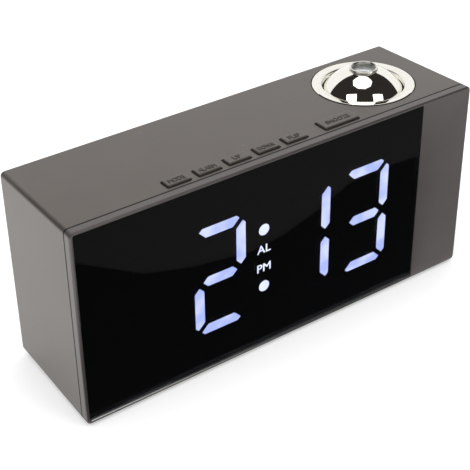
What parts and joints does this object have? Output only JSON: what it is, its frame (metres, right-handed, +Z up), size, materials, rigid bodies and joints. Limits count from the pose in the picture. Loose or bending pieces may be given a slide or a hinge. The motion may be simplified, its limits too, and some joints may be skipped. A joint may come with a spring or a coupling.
{
  "type": "projection alarm clock",
  "caption": "Wide box-shaped digital alarm clock with a dark display window, push keys on top and a swivelling chrome projector ball.",
  "frame": {"origin": "on the table, under the middle of the case's footprint", "axes": "+X along the case to the projector's end, -Y out of the display, +Z up"},
  "size_m": [0.16, 0.0468, 0.0796],
  "materials": {
    "case_plastic": "satin moulded ABS, warm gray",
    "bezel_plastic": "satin moulded ABS, warm gray",
    "key_plastic": "satin moulded ABS with raised function words",
    "smoked_lens": "smoked acrylic, polished",
    "mask_film": "black printed film",
    "reflector_plastic": "white reflective plastic",
    "lit_diffuser": "translucent fill, lit bluish white",
    "unlit_diffuser": "translucent smoked fill, unlit",
    "circuit_board": "solder mask over glass-fibre board",
    "black_plastic": "black moulded plastic",
    "led_plastic": "encapsulated light-emitting diode",
    "natural_plastic": "natural moulded plastic",
    "zinc_screw": "zinc-plated steel",
    "chromed_plastic": "bright chrome plating on moulded ABS",
    "lens_acrylic": "clear moulded acrylic",
    "swivel_plastic": "self-lubricating acetal",
    "slide_film": "small picture-forming glass cell",
    "foot_rubber": "soft rubber",
    "cell_sleeve": "cell in a plain metal sleeve",
    "contact_metal": "nickel-plated spring steel",
    "capacitor_sleeve": "dark plastic sleeve",
    "crystal_can": "drawn metal can",
    "jack_contact": "plated brass pin"
  },
  "bodies": {
    "case": {"backup_cells": "cell_sleeve", "battery_contacts": "contact_metal", "board_header": "black_plastic", "board_spacers": "natural_plastic", "button_board": "circuit_board", "button_board_screws": "zinc_screw", "case_screws": "zinc_screw", "clock_crystal": "crystal_can", "colon_dots": "lit_diffuser", "controller_chip": "black_plastic", "dc_jack": "black_plastic", "digit_reflector": "reflector_plastic", "display_board": "circuit_board", "display_lens": "smoked_lens", "display_screws": "zinc_screw", "front_bezel": "bezel_plastic", "jack_pin": "jack_contact", "lit_segments": "lit_diffuser", "main_board": "circuit_board", "main_board_screws": "zinc_screw", "piezo_buzzer": "black_plastic", "power_board": "circuit_board", "power_board_screws": "zinc_screw", "projector_dish": "chromed_plastic", "rear_housing": "case_plastic", "rubber_feet": "foot_rubber", "segment_leds": "led_plastic", "segment_mask": "mask_film", "smoothing_capacitor": "capacitor_sleeve", "swivel_plate": "swivel_plastic", "swivel_screws": "zinc_screw", "tact_switches": "black_plastic", "unlit_segments": "unlit_diffuser", "word_windows": "unlit_diffuser"},
    "swivel": {"swivel_cup": "swivel_plastic", "swivel_clip": "contact_metal"},
    "ball": {"ball_upper_shell": "chromed_plastic", "ball_lower_shell": "swivel_plastic", "slide_tube": "swivel_plastic", "image_slide": "slide_film", "condenser_lens": "lens_acrylic", "lamp_board": "circuit_board", "projector_lamp": "led_plastic"},
    "focus": {"focus_ring": "chromed_plastic", "projector_lens": "lens_acrylic"},
    "door": {"battery_door": "case_plastic"},
    "mode_key": {"mode_button": "key_plastic", "mode_switch_plunger": "black_plastic"},
    "alarm_key": {"alarm_button": "key_plastic", "alarm_switch_plunger": "black_plastic"},
    "up_key": {"up_button": "key_plastic", "up_switch_plunger": "black_plastic"},
    "down_key": {"down_button": "key_plastic", "down_switch_plunger": "black_plastic"},
    "flip_key": {"flip_button": "key_plastic", "flip_switch_plunger": "black_plastic"},
    "snooze_key": {"snooze_button": "key_plastic", "snooze_switch_plunger": "black_plastic"}
  },
  "joints": [
    {"name": "mode_press", "type": "slide", "parent": "case", "child": "mode_key", "axis": [0, -0.0225, -0.9997], "range_m": [0, 0.0006], "stiffness_N_per_m": 1500},
    {"name": "alarm_press", "type": "slide", "parent": "case", "child": "alarm_key", "axis": [0, -0.0225, -0.9997], "range_m": [0, 0.0006], "stiffness_N_per_m": 1500},
    {"name": "up_press", "type": "slide", "parent": "case", "child": "up_key", "axis": [0, -0.0225, -0.9997], "range_m": [0, 0.0006], "stiffness_N_per_m": 1500},
    {"name": "down_press", "type": "slide", "parent": "case", "child": "down_key", "axis": [0, -0.0225, -0.9997], "range_m": [0, 0.0006], "stiffness_N_per_m": 1500},
    {"name": "flip_press", "type": "slide", "parent": "case", "child": "flip_key", "axis": [0, -0.0225, -0.9997], "range_m": [0, 0.0006], "stiffness_N_per_m": 1500},
    {"name": "snooze_press", "type": "slide", "parent": "case", "child": "snooze_key", "axis": [0, -0.0225, -0.9997], "range_m": [0, 0.0006], "stiffness_N_per_m": 1800},
    {"name": "projector_swivel", "type": "hinge", "parent": "case", "child": "swivel", "pos_m": [0.05205, 0.00152, 0.06284], "axis": [0, 0.0225, 0.9997], "range_deg": [-90, 90]},
    {"name": "projector_tilt", "type": "hinge", "parent": "swivel", "child": "ball", "pos_m": [0.05205, 0.00152, 0.06284], "axis": [1, 0, 0], "range_deg": [-35, 35]},
    {"name": "focus_turn", "type": "hinge", "parent": "ball", "child": "focus", "pos_m": [0.05205, 0.00152, 0.06284], "axis": [0, 0.0225, 0.9997], "range_deg": [-60, 60]},
    {"name": "battery_door_hinge", "type": "hinge", "parent": "case", "child": "door", "pos_m": [-0.032, 0.02335, 0.0132], "axis": [-1, 0, 0], "range_deg": [0, 35]}
  ]
}
